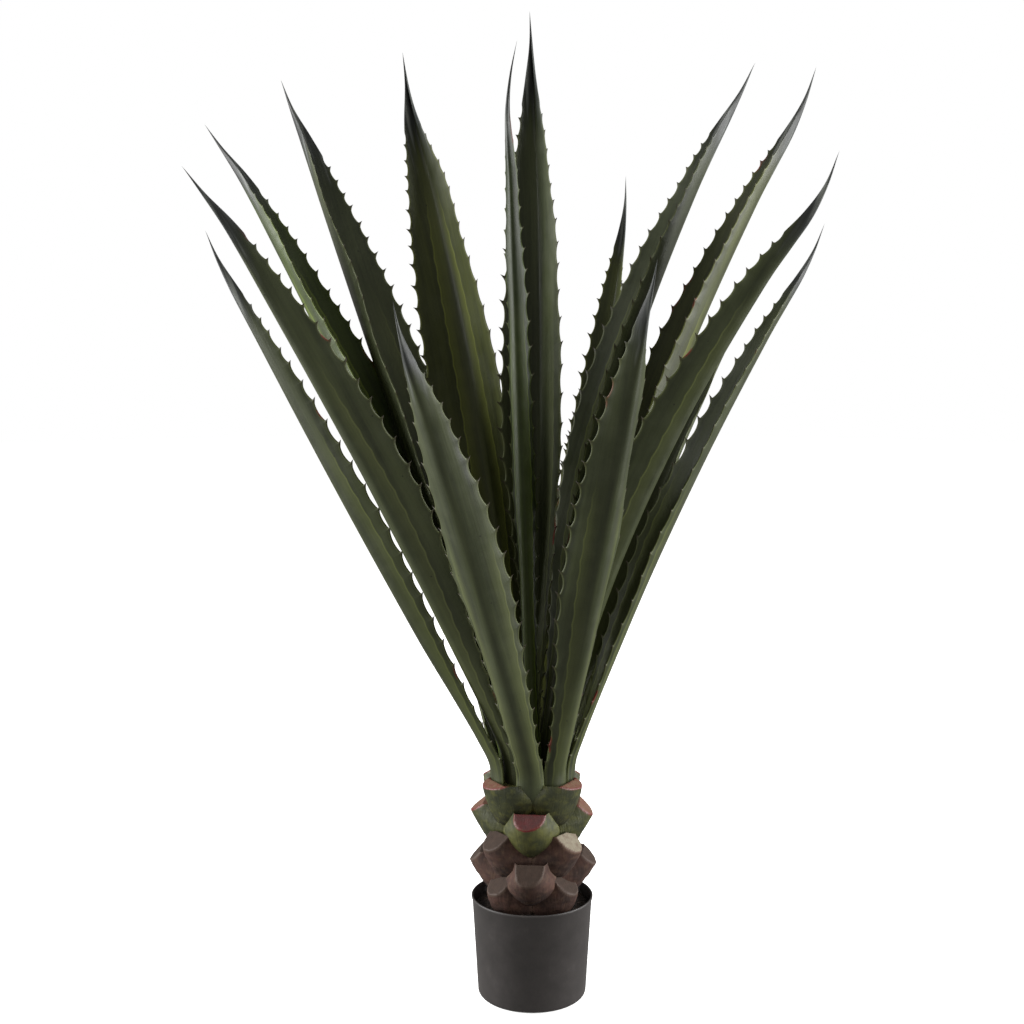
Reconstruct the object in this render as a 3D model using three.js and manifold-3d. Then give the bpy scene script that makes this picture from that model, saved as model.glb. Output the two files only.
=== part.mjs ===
// A giant agave in a plain black nursery pot, about 1.3 m tall, as a three.js scene graph.
// Millimetres, +Z up. The origin is the centre of the pot's foot, on the surface that it stands on.
// +Y is the back of the plant, and azimuths run from +X towards +Y.
//
// The pot holds a potting mix. A thick stem stands in the mix, clad in the stubs of cut leaf bases,
// and its crown has four round terraces that the live leaves stand on.
import * as THREE from "three";
import { mergeVertices } from "three/addons/utils/BufferGeometryUtils.js";
import Module from "manifold-3d";

const wasm = await Module();
wasm.setup();

// --- Driving dimensions -------------------------------------------------------------------------
const CLEARANCE = 0.4; // between pieces that touch
const WELD = 1e-3; // vertices closer than this are one

const POT_RIM_DIAMETER = 160;
const POT_FOOT_DIAMETER = 143;
const POT_HEIGHT = 136;
const POT_WALL = 2;
const POT_FLOOR = 3;
const POT_FOOT_ROUND = 7;
const POT_SEGMENTS = 40;
const POT_ROUND_STEPS = 4;

const MIX_BELOW_RIM = 14;
const MIX_MOUND = 4; // how much higher the mix is at the stem than at the pot's wall

const STEM_SUNK = 50; // how deep the stem goes into the mix
const STEM_RADIUS = 46;
const STEM_FOOT_RADIUS = 37;
const STEM_FLARE = 18; // the height over which the stem widens into the lowest terrace
const STEM_HEIGHT = 160; // from the mix to the lowest terrace
const STEM_SEGMENTS = 32;
const TERRACE_RISE = 9; // each terrace above the one outside it
const TERRACE_RADII = [58, 44, 29, 14]; // outer edges, from the lowest terrace to the highest

const STUBS_PER_ROW = 4;
const GREEN_STUB_ROWS = 2; // the uppermost rows, cut most recently
const STUB_LOWEST_PITCH = 28; // from the lowest row to the next
const STUB_PITCH_GROWTH = 1.09; // of each pitch above, because the stem is younger there
const STUB_LENGTH = 58; // along the stub, from its root to the cut
const STUB_LEANS = [10, 26, 15, 21, 10]; // degrees that each row leans out, from the lowest row
const STUB_WIDTH = 98; // at the shoulders, round the stem
const STUB_ROOT_WIDTH = 14;
const STUB_CUT_WIDTH = 50;
const STUB_SHOULDERS = 0.56; // where the shoulders are, as a share of the length
const STUB_ROOT_THICKNESS = 8;
const STUB_CUT_THICKNESS = 18; // outside the stub's middle line
const STUB_INNER_THICKNESS = 6; // inside it
const STUB_CUT_SLANT = 15; // degrees that the cut falls away from square
const STUB_SUNK = 8; // the lowest stubs' roots below the mix
const STUB_LENGTH_STEPS = 5;
const STUB_SECTION_POINTS = 12;

const LEAF_LENGTH_STEPS = 22;
const LEAF_SECTION_POINTS = 8;
const LEAF_ROOT_THICKNESS = 8;
const LEAF_MIDDLE_THICKNESS = 5;
const LEAF_TIP_THICKNESS = 2.4;
const LEAF_CURVE_SHARES = [0.28, 0.56, 0.8, 0.92]; // where the curve is held between root and tip
const LEAF_SETTLED = 0.32; // the share of the length where fold, roll and bearing are at full value
const LEAF_WIDEST = 0.48; // the share of the length where the blade is widest
const LEAF_SPINE_START = 0.78; // where the blade begins to roll up into its end spine
const LEAF_BLADE_END = 0.97; // where only the spine is left
const LEAF_SPINE_WIDTH = 0.1; // of the widest
const LEAF_RISE = 24; // the upright stretch above a leaf's seat, before it leans out
const LEAF_ROOT_WIDTHS = [36, 30, 20, 16]; // on each terrace
const LEAF_ROOT_FOLD = 12; // degrees between each half of the blade and flat, at the seat
const LEAF_TIP_FOLD = 62; // the same where the blade rolls into its end spine
const KEEL_SOFTNESS = 0.2; // how far the round of the keel reaches, as a share of the half width

// --- Places that follow from them ----------------------------------------------------------------
const mixTop = POT_HEIGHT - MIX_BELOW_RIM;
const stemFoot = mixTop - STEM_SUNK;
const crownFoot = mixTop + STEM_HEIGHT;
const terraceHeight = (terrace) => crownFoot + terrace * TERRACE_RISE;
const radians = THREE.MathUtils.degToRad;
const smooth = THREE.MathUtils.smoothstep;
const mix = THREE.MathUtils.lerp;
const UP = new THREE.Vector3(0, 0, 1);
const around = (degrees) => new THREE.Vector3(Math.cos(radians(degrees)), Math.sin(radians(degrees)), 0);

// The live leaves. Each stands on a terrace, at the azimuth of its seat, and ends at its tip, which
// is measured from the middle of the crown's lowest terrace.
// bend is how far the middle is bowed outwards, how far it is bowed sideways, and how far the last
// stretch hooks back inwards. blade is the flattened width, the degrees that each half is folded up,
// and the degrees that the blade is rolled about its own length.
const LEAVES = {
  front_left: { terrace: 0, seat: 267, tip: [-150, -305, 630], bend: [5, 10, 10], blade: [88, 38, 16] },
  front_right: { terrace: 0, seat: 309, tip: [135, -270, 675], bend: [0, 5, 0], blade: [96, 40, 6] },
  left_low: { terrace: 0, seat: 205, tip: [-400, -55, 715], bend: [5, 5, 5], blade: [88, 40, 14] },
  right_low: { terrace: 0, seat: 351, tip: [360, -20, 725], bend: [-20, -5, 10], blade: [70, 42, 22] },
  rear_left: { terrace: 0, seat: 160, tip: [-240, 345, 660], bend: [-25, 5, 10], blade: [84, 40, 0] },
  rear_middle: { terrace: 0, seat: 118, tip: [0, 415, 645], bend: [-20, -5, 5], blade: [80, 40, 0] },
  rear_right: { terrace: 0, seat: 75, tip: [150, 385, 680], bend: [-30, 5, 15], blade: [78, 40, 0] },
  rear_far_right: { terrace: 0, seat: 33, tip: [300, 260, 635], bend: [-20, 0, 10], blade: [82, 40, -2] },
  left_front: { terrace: 1, seat: 221, tip: [-395, -200, 780], bend: [-15, -5, -5], blade: [106, 40, 24] },
  right_front: { terrace: 1, seat: 321, tip: [350, -155, 800], bend: [-45, -5, 20], blade: [100, 40, -16] },
  left_back: { terrace: 1, seat: 172, tip: [-440, 150, 865], bend: [-20, 0, -5], blade: [110, 42, 0] },
  right_back: { terrace: 1, seat: 20, tip: [365, 95, 930], bend: [-35, 5, 15], blade: [112, 42, 0] },
  back_right: { terrace: 1, seat: 84, tip: [130, 260, 805], bend: [10, -5, 15], blade: [76, 40, -4] },
  back_left: { terrace: 2, seat: 167, tip: [-345, 205, 930], bend: [-5, 15, 0], blade: [130, 46, 0] },
  right_high: { terrace: 2, seat: 42, tip: [295, 160, 945], bend: [-45, 10, 5], blade: [120, 44, -12] },
  back_wide: { terrace: 2, seat: 110, tip: [-175, 165, 960], bend: [-25, 0, 10], blade: [132, 40, -64] },
  centre_front: { terrace: 2, seat: 274, tip: [-20, -25, 945], bend: [0, 0, 15], blade: [42, 42, 70] },
  centre_back: { terrace: 3, seat: 80, tip: [-5, 65, 995], bend: [-5, -10, -5], blade: [112, 42, -24] },
};

// --- Solids --------------------------------------------------------------------------------------
// Leaves only positions on a geometry and joins its shared vertices, so that it is closed.
function closed(geometry) {
  geometry.deleteAttribute("normal");
  geometry.deleteAttribute("uv");
  return mergeVertices(geometry, WELD);
}

function solid(geometry) {
  const merged = closed(geometry.clone());
  return new wasm.Manifold(
    new wasm.Mesh({
      numProp: 3,
      vertProperties: new Float32Array(merged.attributes.position.array),
      triVerts: new Uint32Array(merged.index.array),
    }),
  );
}

function geometryOf(manifold) {
  const mesh = manifold.getMesh();
  return new THREE.BufferGeometry()
    .setAttribute("position", new THREE.BufferAttribute(new Float32Array(mesh.vertProperties), 3))
    .setIndex(new THREE.BufferAttribute(new Uint32Array(mesh.triVerts), 1));
}

// A solid with others cut out of it. Where that leaves loose slivers, only its main piece stays.
function cut(blank, cutters) {
  const left = cutters.reduce((made, cutter) => made.subtract(cutter), blank);
  const pieces = left.decompose().sort((a, b) => b.volume() - a.volume());
  return closed(geometryOf(pieces[0]));
}

// A solid of revolution about +Z from [radius, height] pairs that start and end on the axis.
function turned(profile, segments) {
  const points = profile.map(([radius, height]) => new THREE.Vector2(radius, height));
  return closed(new THREE.LatheGeometry(points, segments).rotateX(Math.PI / 2));
}

// Moves every vertex of a geometry to where place(point) says, and keeps its faces.
function reshaped(geometry, place) {
  const position = geometry.attributes.position;
  const point = new THREE.Vector3();
  for (let i = 0; i < position.count; i++) {
    const moved = place(point.fromBufferAttribute(position, i));
    position.setXYZ(i, moved.x, moved.y, moved.z);
  }
  return closed(geometry);
}

// --- Pot, mix and stem ---------------------------------------------------------------------------
const potRadiusAt = (height) => mix(POT_FOOT_DIAMETER, POT_RIM_DIAMETER, height / POT_HEIGHT) / 2;

function potGeometry() {
  const round = [];
  for (let step = 0; step <= POT_ROUND_STEPS; step++) {
    const turn = (step / POT_ROUND_STEPS) * (Math.PI / 2);
    const inset = POT_FOOT_ROUND * (1 - Math.sin(turn));
    const height = POT_FOOT_ROUND * (1 - Math.cos(turn));
    round.push([potRadiusAt(height) - inset, height]);
  }
  return turned(
    [
      [0, 0],
      ...round,
      [potRadiusAt(POT_HEIGHT), POT_HEIGHT],
      [potRadiusAt(POT_HEIGHT) - POT_WALL, POT_HEIGHT],
      [potRadiusAt(POT_FOOT_ROUND) - POT_WALL, POT_FOOT_ROUND + 1],
      [potRadiusAt(0) - POT_FOOT_ROUND, POT_FLOOR],
      [0, POT_FLOOR],
    ],
    POT_SEGMENTS,
  );
}

// The stem's outline, grown by a gap on every side.
function stemGeometry(gap) {
  const terraces = TERRACE_RADII.flatMap((radius, terrace) => [
    [radius + gap, terrace ? terraceHeight(terrace - 1) + gap : crownFoot - STEM_FLARE / 4],
    [radius + gap, terraceHeight(terrace) + gap],
  ]);
  return turned(
    [
      [0, stemFoot - gap],
      [STEM_FOOT_RADIUS + gap, stemFoot - gap],
      [STEM_RADIUS + gap, mixTop],
      [STEM_RADIUS + gap, crownFoot - STEM_FLARE],
      ...terraces,
      [0, terraceHeight(TERRACE_RADII.length - 1) + gap],
    ],
    STEM_SEGMENTS,
  );
}

// The round space over the crown that the leaves rise through.
function crownGeometry(gap) {
  const radius = TERRACE_RADII[0] + gap;
  const top = crownFoot + LEAF_RISE;
  return turned([[0, crownFoot], [radius, crownFoot], [radius, top], [0, top]], STEM_SEGMENTS);
}

function mixGeometry(cutters) {
  const wallRadius = (height) => potRadiusAt(height) - POT_WALL - CLEARANCE;
  const blank = solid(
    turned(
      [
        [0, POT_FLOOR + CLEARANCE],
        [potRadiusAt(0) - POT_FOOT_ROUND - 1, POT_FLOOR + CLEARANCE],
        [wallRadius(POT_FOOT_ROUND + 3), POT_FOOT_ROUND + 3],
        [wallRadius(mixTop), mixTop],
        [STEM_RADIUS, mixTop + MIX_MOUND],
        [0, mixTop + MIX_MOUND],
      ],
      POT_SEGMENTS,
    ),
  );
  return cut(blank, cutters);
}

// --- Leaves --------------------------------------------------------------------------------------
// Half width at a share t of the length, from seat to tip, as a share of the widest.
function leafOutline(t, root) {
  if (t < LEAF_WIDEST) return mix(root, 1, smooth(t, 0.04, LEAF_WIDEST));
  const blade = 1 - ((t - LEAF_WIDEST) / (LEAF_BLADE_END - LEAF_WIDEST)) ** 1.9;
  return Math.max(blade, LEAF_SPINE_WIDTH * mix(1, 0.4, smooth(t, 0.9, 1)));
}

function leafCurve(leaf) {
  const radius = (TERRACE_RADII[leaf.terrace] + (TERRACE_RADII[leaf.terrace + 1] ?? 0)) / 2;
  const seat = around(leaf.seat).multiplyScalar(radius);
  seat.z = terraceHeight(leaf.terrace) + CLEARANCE;
  const root = seat.clone().addScaledVector(UP, LEAF_RISE);
  const tip = new THREE.Vector3(...leaf.tip).addScaledVector(UP, crownFoot);
  const [bow, side, hook] = leaf.bend;
  const out = new THREE.Vector3(tip.x - seat.x, tip.y - seat.y, 0).normalize();
  const chord = tip.clone().sub(root).normalize();
  const outward = out.clone().addScaledVector(chord, -out.dot(chord)).normalize();
  const sideways = new THREE.Vector3().crossVectors(UP, out);
  const unhooked = tip.clone().addScaledVector(outward, hook);
  const along = (share) =>
    root
      .clone()
      .lerp(unhooked, share)
      .addScaledVector(outward, bow * 4 * share * (1 - share))
      .addScaledVector(sideways, side * 4 * share * (1 - share));
  return {
    curve: new THREE.CatmullRomCurve3([seat, root, ...LEAF_CURVE_SHARES.map(along), tip]),
    seat,
    out,
  };
}

// The point of a leaf at a share t of its length, across from one margin (-1) to the other (1),
// and face from the outer side (-1) to the inner side (1). The gap grows the leaf on every side.
function leafSurface(leaf, gap) {
  const { curve, seat, out } = leafCurve(leaf);
  const start = around(leaf.seat);
  const [width, bladeFold, roll] = leaf.blade;
  return (t, across, face) => {
    if (t > 0.999) return curve.getPointAt(1).addScaledVector(curve.getTangentAt(1), gap);
    const tangent = curve.getTangentAt(t);
    const settled = smooth(t, 0, LEAF_SETTLED);
    const inward = start.clone().lerp(out, settled).normalize().negate();
    inward.addScaledVector(tangent, -inward.dot(tangent)).normalize();
    inward.applyAxisAngle(tangent, radians(roll) * settled);
    const sideways = new THREE.Vector3().crossVectors(tangent, inward);

    const openFold = mix(LEAF_ROOT_FOLD, bladeFold, settled);
    const fold = radians(mix(openFold, LEAF_TIP_FOLD, smooth(t, LEAF_SPINE_START, 1)));
    const half = (width / 2) * leafOutline(t, LEAF_ROOT_WIDTHS[leaf.terrace] / width) + gap;
    const body = mix(LEAF_ROOT_THICKNESS, LEAF_MIDDLE_THICKNESS, smooth(t, 0, 0.4));
    const thickness = mix(body, LEAF_TIP_THICKNESS, smooth(t, 0.4, 0.97)) + 2 * gap;
    const soft = Math.hypot(across, KEEL_SOFTNESS) - KEEL_SOFTNESS;
    const rise = (half * Math.sin(fold) * soft) / (Math.hypot(1, KEEL_SOFTNESS) - KEEL_SOFTNESS);
    const slope = Math.sin(fold) * (across / Math.hypot(across, KEEL_SOFTNESS));
    const tilt = Math.atan2(slope, Math.cos(fold));

    const place = curve.getPointAt(t);
    const offset = (face * thickness) / 2;
    place.addScaledVector(sideways, half * across * Math.cos(fold) - offset * Math.sin(tilt));
    place.addScaledVector(inward, rise + offset * Math.cos(tilt));
    // The lowest ring lies flat on the terrace.
    if (t < 0.001) place.z = seat.z - gap;
    return place;
  };
}

// A cone of many rings is drawn out along the leaf's surface.
function leafGeometry(leaf, gap) {
  const surface = leafSurface(leaf, gap);
  const blank = new THREE.ConeGeometry(1, 1, LEAF_SECTION_POINTS, LEAF_LENGTH_STEPS);
  return reshaped(blank, (point) => {
    const t = point.y + 0.5;
    const radius = Math.max(1 - t, 1e-9);
    return surface(t, point.x / radius, point.z / radius);
  });
}

// --- Stubs of cut leaf bases ---------------------------------------------------------------------
// Width along the stub: a pointed root, broad shoulders, and a narrower cut.
function stubWidthAt(t) {
  if (t < STUB_SHOULDERS) {
    return mix(STUB_ROOT_WIDTH, STUB_WIDTH, Math.sin((Math.PI / 2) * (t / STUB_SHOULDERS)));
  }
  return mix(STUB_WIDTH, STUB_CUT_WIDTH, (t - STUB_SHOULDERS) / (1 - STUB_SHOULDERS));
}

function stubRootHeight(row) {
  let height = mixTop - STUB_SUNK;
  for (let below = 0; below < row; below++) height += STUB_LOWEST_PITCH * STUB_PITCH_GROWTH ** below;
  return height;
}

function stubGeometry(row, azimuth, gap) {
  const rootHeight = stubRootHeight(row);
  const lean = radians(STUB_LEANS[row]);
  const slant = Math.tan(radians(STUB_CUT_SLANT));
  const blank = new THREE.CylinderGeometry(1, 1, 1, STUB_SECTION_POINTS, STUB_LENGTH_STEPS);
  return reshaped(blank, (point) => {
    const t = point.y + 0.5;
    const girth = STEM_RADIUS + STUB_CUT_THICKNESS;
    const half = Math.min(stubWidthAt(t) / 2, (Math.PI / STUBS_PER_ROW) * girth - CLEARANCE) + gap;
    const outer = mix(STUB_ROOT_THICKNESS, STUB_CUT_THICKNESS, smooth(t, 0, 0.8)) + gap;
    const deep = point.z * (point.z > 0 ? outer : STUB_INNER_THICKNESS + gap);
    const end = t < 0.001 ? -gap : t > 0.999 ? gap : 0;
    const along = t * (STUB_LENGTH - slant * deep) + end;
    const radius = STEM_RADIUS + along * Math.sin(lean) + deep * Math.cos(lean);
    const bearing = radians(azimuth) + (point.x * half) / girth;
    return new THREE.Vector3(
      radius * Math.cos(bearing),
      radius * Math.sin(bearing),
      rootHeight + along * Math.cos(lean) - deep * Math.sin(lean),
    );
  });
}

// --- The assembly --------------------------------------------------------------------------------
const finish = (color, roughness, metalness = 0) =>
  new THREE.MeshStandardMaterial({ color, roughness, metalness });
const POT_FINISH = finish(0x2b2a2a, 0.45);
const MIX_FINISH = finish(0x1d1611, 0.95);
const STEM_FINISH = finish(0x2c261b, 0.9);
const LEAF_FINISH = finish(0x2f3a2a, 0.45);
const GREEN_STUB_FINISH = finish(0x3d4630, 0.6);
const BROWN_STUB_FINISH = finish(0x4a352e, 0.7);

const agave = new THREE.Group();
function add(name, geometry, material) {
  const mesh = new THREE.Mesh(geometry, material);
  mesh.name = name;
  agave.add(mesh);
}

add("pot", potGeometry(), POT_FINISH);
add("stem", stemGeometry(0), STEM_FINISH);
for (const [name, leaf] of Object.entries(LEAVES)) {
  add(`leaf_${name}`, leafGeometry(leaf, 0), LEAF_FINISH);
}

// A stub gives way to the stem, to the stubs of the rows above it, and to the leaves that pass it.
const stemCutter = solid(stemGeometry(CLEARANCE));
const crownCutter = solid(crownGeometry(CLEARANCE));
const leafCutters = Object.values(LEAVES).map((leaf) => solid(leafGeometry(leaf, CLEARANCE)));
const stubCutters = [];
for (let row = STUB_LEANS.length - 1; row >= 0; row--) {
  const cutters = [stemCutter, crownCutter, ...leafCutters, ...stubCutters];
  const green = row >= STUB_LEANS.length - GREEN_STUB_ROWS;
  for (let place = 0; place < STUBS_PER_ROW; place++) {
    const azimuth = ((place + (row % 2 ? 0 : 0.5)) * 360) / STUBS_PER_ROW;
    const name = `leaf_stub_${row + 1}${"abcdefgh"[place]}`;
    const geometry = cut(solid(stubGeometry(row, azimuth, 0)), cutters);
    add(name, geometry, green ? GREEN_STUB_FINISH : BROWN_STUB_FINISH);
    stubCutters.push(solid(stubGeometry(row, azimuth, CLEARANCE)));
  }
}
add("potting_mix", mixGeometry([stemCutter, ...stubCutters]), MIX_FINISH);

export default agave;
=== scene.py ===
"""A giant agave in a black nursery pot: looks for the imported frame, in metres, +Z up, front towards -Y."""

import math
import random

import bmesh
import bpy
import numpy as np
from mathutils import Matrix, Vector, noise


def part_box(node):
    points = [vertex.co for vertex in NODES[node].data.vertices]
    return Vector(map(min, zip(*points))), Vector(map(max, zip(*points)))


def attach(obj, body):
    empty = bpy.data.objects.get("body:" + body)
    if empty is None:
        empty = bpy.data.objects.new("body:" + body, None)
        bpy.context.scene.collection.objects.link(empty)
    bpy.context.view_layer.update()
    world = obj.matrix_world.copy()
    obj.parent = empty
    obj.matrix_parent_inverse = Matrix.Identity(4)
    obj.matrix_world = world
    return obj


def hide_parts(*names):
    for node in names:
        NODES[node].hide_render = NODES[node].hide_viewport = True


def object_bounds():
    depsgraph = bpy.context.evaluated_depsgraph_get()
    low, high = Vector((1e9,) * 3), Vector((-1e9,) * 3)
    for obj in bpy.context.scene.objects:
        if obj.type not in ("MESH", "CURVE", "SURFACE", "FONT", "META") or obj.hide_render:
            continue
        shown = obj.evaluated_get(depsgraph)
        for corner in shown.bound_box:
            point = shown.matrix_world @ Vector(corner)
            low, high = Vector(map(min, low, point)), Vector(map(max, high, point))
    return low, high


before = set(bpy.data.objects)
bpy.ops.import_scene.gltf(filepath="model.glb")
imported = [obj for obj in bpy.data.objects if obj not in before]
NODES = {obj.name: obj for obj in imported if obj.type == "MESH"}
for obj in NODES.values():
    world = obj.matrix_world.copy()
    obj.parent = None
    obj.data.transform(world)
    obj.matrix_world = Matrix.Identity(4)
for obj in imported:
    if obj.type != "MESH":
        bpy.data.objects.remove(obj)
cad_low, cad_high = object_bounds()
scene = bpy.context.scene
MM = 0.001


# ---------------------------------------------------------------- helpers
def linear(hex_colour):
    """An sRGB hex colour as linear RGBA."""
    channels = [int(hex_colour[i:i + 2], 16) / 255 for i in (1, 3, 5)]
    return [c / 12.92 if c <= 0.04045 else ((c + 0.055) / 1.055) ** 2.4 for c in channels] + [1.0]


def ease(value, low, high):
    """0 up to low, 1 from high on, and an even S between them."""
    share = np.clip((value - low) / (high - low), 0.0, 1.0)
    return share * share * (3 - 2 * share)


def unit(vectors):
    """Vectors of length one, along the last axis."""
    return vectors / np.maximum(np.linalg.norm(vectors, axis=-1, keepdims=True), 1e-9)


def add(tree, kind, inputs=None, **settings):
    """Adds a node with its settings, and gives each input its value or its link."""
    node = tree.nodes.new(kind)
    for key, value in settings.items():
        if key == "stops":
            ramp = node.color_ramp
            while len(ramp.elements) < len(value):
                ramp.elements.new(0.5)
            for element, (position, colour) in zip(ramp.elements, value):
                element.position = position
                element.color = linear(colour) if isinstance(colour, str) else [colour] * 3 + [1.0]
        else:
            setattr(node, key, value)
    for key, value in (inputs or {}).items():
        if isinstance(value, bpy.types.NodeSocket):
            tree.links.new(value, node.inputs[key])
        else:
            node.inputs[key].default_value = linear(value) if isinstance(value, str) else value
    return node


def new_material(name, **values):
    """A material with its Principled shader's own values set, its node tree and that shader."""
    material = bpy.data.materials.new(name)
    material.use_nodes = True
    shader = material.node_tree.nodes["Principled BSDF"]
    for key, value in values.items():
        shader.inputs[key.replace("_", " ")].default_value = value
    return material, material.node_tree, shader


def grid_body(points, attributes):
    """A closed body whose rows of points run round it. Its first and its last row are each one point."""
    rows, columns, _ = points.shape
    bm = bmesh.new()
    bmesh.ops.create_grid(bm, x_segments=rows - 1, y_segments=columns, size=1.0)
    layers = {key: bm.verts.layers.float.new(key) for key in attributes}
    for vert in bm.verts:
        row = round((vert.co.x + 1) / 2 * (rows - 1))
        column = round((vert.co.y + 1) / 2 * columns) % columns
        vert.co = points[row, column]
        for key, layer in layers.items():
            vert[layer] = attributes[key][row, column]
    bmesh.ops.remove_doubles(bm, verts=bm.verts, dist=2e-6)
    bmesh.ops.recalc_face_normals(bm, faces=bm.faces)
    return bm


def piece(name, bm, material, slot, *nodes):
    """The finished piece of the plant, riding on the one body and standing for its CAD nodes."""
    mesh = bpy.data.meshes.new(name)
    for face in bm.faces:
        face.smooth = True
    bm.to_mesh(mesh)
    bm.free()
    made = bpy.data.objects.new(name, mesh)
    scene.collection.objects.link(made)
    mesh.materials.append(material)
    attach(made, "root")
    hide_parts(*nodes)
    return made


# ---------------------------------------------------------------- leaf materials
def leaf_skin(name, deep, fresh, vein):
    """Agave leaf skin, smooth and waxy: a dull sheen over dark green, fibres running up the blade,
    a paler margin with horny teeth, and a dry silver end spine."""
    material, tree, shader = new_material(name, Roughness=0.45, IOR=1.37)
    along, flat, up, edge, tooth, inner, track, printed = (
        add(tree, "ShaderNodeAttribute", attribute_name=key).outputs["Fac"]
        for key in ("along", "flat", "up", "edge", "tooth", "inner", "track", "printed"))
    spot = add(tree, "ShaderNodeTexCoord").outputs["Object"]
    blade = add(tree, "ShaderNodeCombineXYZ", {"X": flat, "Y": up, "Z": inner}).outputs[0]

    # Fibres are 2 to 3 mm apart and run for tens of mm; streaks are 15 mm apart. flat and up are in metres.
    grain = add(tree, "ShaderNodeMapping", {"Vector": blade, "Scale": (420, 12, 5)}).outputs[0]
    fibres = add(tree, "ShaderNodeTexNoise", {"Vector": grain, "Scale": 1.0, "Detail": 3.0}).outputs[0]
    broad = add(tree, "ShaderNodeMapping", {"Vector": blade, "Scale": (65, 4, 3)}).outputs[0]
    streaks = add(tree, "ShaderNodeTexNoise", {"Vector": broad, "Scale": 1.0, "Detail": 3.0}).outputs[0]
    # Blotches of wax bloom are about 25 mm across, and specks about 2 mm.
    bloom = add(tree, "ShaderNodeTexNoise",
                {"Vector": spot, "Scale": 40.0, "Detail": 5.0, "Roughness": 0.6}).outputs[0]
    cells = add(tree, "ShaderNodeTexVoronoi", {"Vector": spot, "Scale": 42.0}).outputs["Distance"]

    tone = add(tree, "ShaderNodeMapRange", {"Value": streaks, "From Min": 0.36, "From Max": 0.68}).outputs[0]
    mixed = add(tree, "ShaderNodeMix", {0: tone, 6: deep, 7: fresh}, data_type="RGBA").outputs[2]
    cloudy = add(tree, "ShaderNodeMapRange",
                 {"Value": bloom, "From Min": 0.45, "From Max": 0.75, "To Max": 0.28}).outputs[0]
    waxy = add(tree, "ShaderNodeMix", {0: cloudy, 6: mixed, 7: "#474b36"}, data_type="RGBA").outputs[2]
    thread = add(tree, "ShaderNodeMapRange",
                 {"Value": fibres, "From Min": 0.5, "From Max": 0.8, "To Max": 0.35}).outputs[0]
    fibred = add(tree, "ShaderNodeMix", {0: thread, 6: waxy, 7: fresh}, data_type="RGBA").outputs[2]
    # The print of the neighbour's margin, pressed in while both were folded in the bud: a thin line,
    # with a paler band about 14 mm wide on its keel side.
    away = add(tree, "ShaderNodeMath", {0: flat}, operation="ABSOLUTE").outputs[0]
    past = add(tree, "ShaderNodeMath", {0: away, 1: track}, operation="SUBTRACT").outputs[0]
    gap = add(tree, "ShaderNodeMath", {0: past}, operation="ABSOLUTE").outputs[0]
    line = add(tree, "ShaderNodeMapRange",
               {"Value": gap, "From Min": 0.0004, "From Max": 0.0014, "To Min": 0.5, "To Max": 0.0}).outputs[0]
    drawn = add(tree, "ShaderNodeMath", {0: line, 1: printed}, operation="MULTIPLY").outputs[0]
    beside = add(tree, "ShaderNodeMapRange", {"Value": past, "From Min": -0.016, "From Max": 0.002}).outputs[0]
    band = add(tree, "ShaderNodeValToRGB", {0: beside},
               stops=[(0.0, 0.0), (0.7, 0.3), (0.88, 0.3), (0.95, 0.0)]).outputs[0]
    banded = add(tree, "ShaderNodeMath", {0: band, 1: printed}, operation="MULTIPLY").outputs[0]
    lighter = add(tree, "ShaderNodeMix", {0: banded, 6: fibred, 7: vein}, data_type="RGBA").outputs[2]
    pressed = add(tree, "ShaderNodeMix", {0: drawn, 6: lighter, 7: vein}, data_type="RGBA").outputs[2]
    # The outer 3 mm of the edge is paler, and here and there it has flushed red.
    pale = add(tree, "ShaderNodeValToRGB", {0: edge}, stops=[(0.0, 0.4), (0.1, 0.35), (0.3, 0.0)]).outputs[0]
    lined = add(tree, "ShaderNodeMix", {0: pale, 6: pressed, 7: vein}, data_type="RGBA").outputs[2]
    flushed = add(tree, "ShaderNodeTexNoise", {"Vector": spot, "Scale": 14.0, "Detail": 2.0}).outputs[0]
    blush = add(tree, "ShaderNodeMapRange", {"Value": flushed, "From Min": 0.66, "From Max": 0.69}).outputs[0]
    near = add(tree, "ShaderNodeMapRange",
               {"Value": edge, "From Min": 0.05, "From Max": 0.3, "To Min": 0.8, "To Max": 0.0}).outputs[0]
    red = add(tree, "ShaderNodeMath", {0: blush, 1: near}, operation="MULTIPLY").outputs[0]
    reddened = add(tree, "ShaderNodeMix", {0: red, 6: lined, 7: "#6b1216"}, data_type="RGBA").outputs[2]
    speck = add(tree, "ShaderNodeMapRange",
                {"Value": cells, "From Min": 0.03, "From Max": 0.06, "To Min": 0.7, "To Max": 0.0}).outputs[0]
    specked = add(tree, "ShaderNodeMix", {0: speck, 6: reddened, 7: "#15140f"}, data_type="RGBA").outputs[2]
    horny = add(tree, "ShaderNodeMix", {0: tooth, 6: specked, 7: "#2a2016"}, data_type="RGBA").outputs[2]
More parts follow.
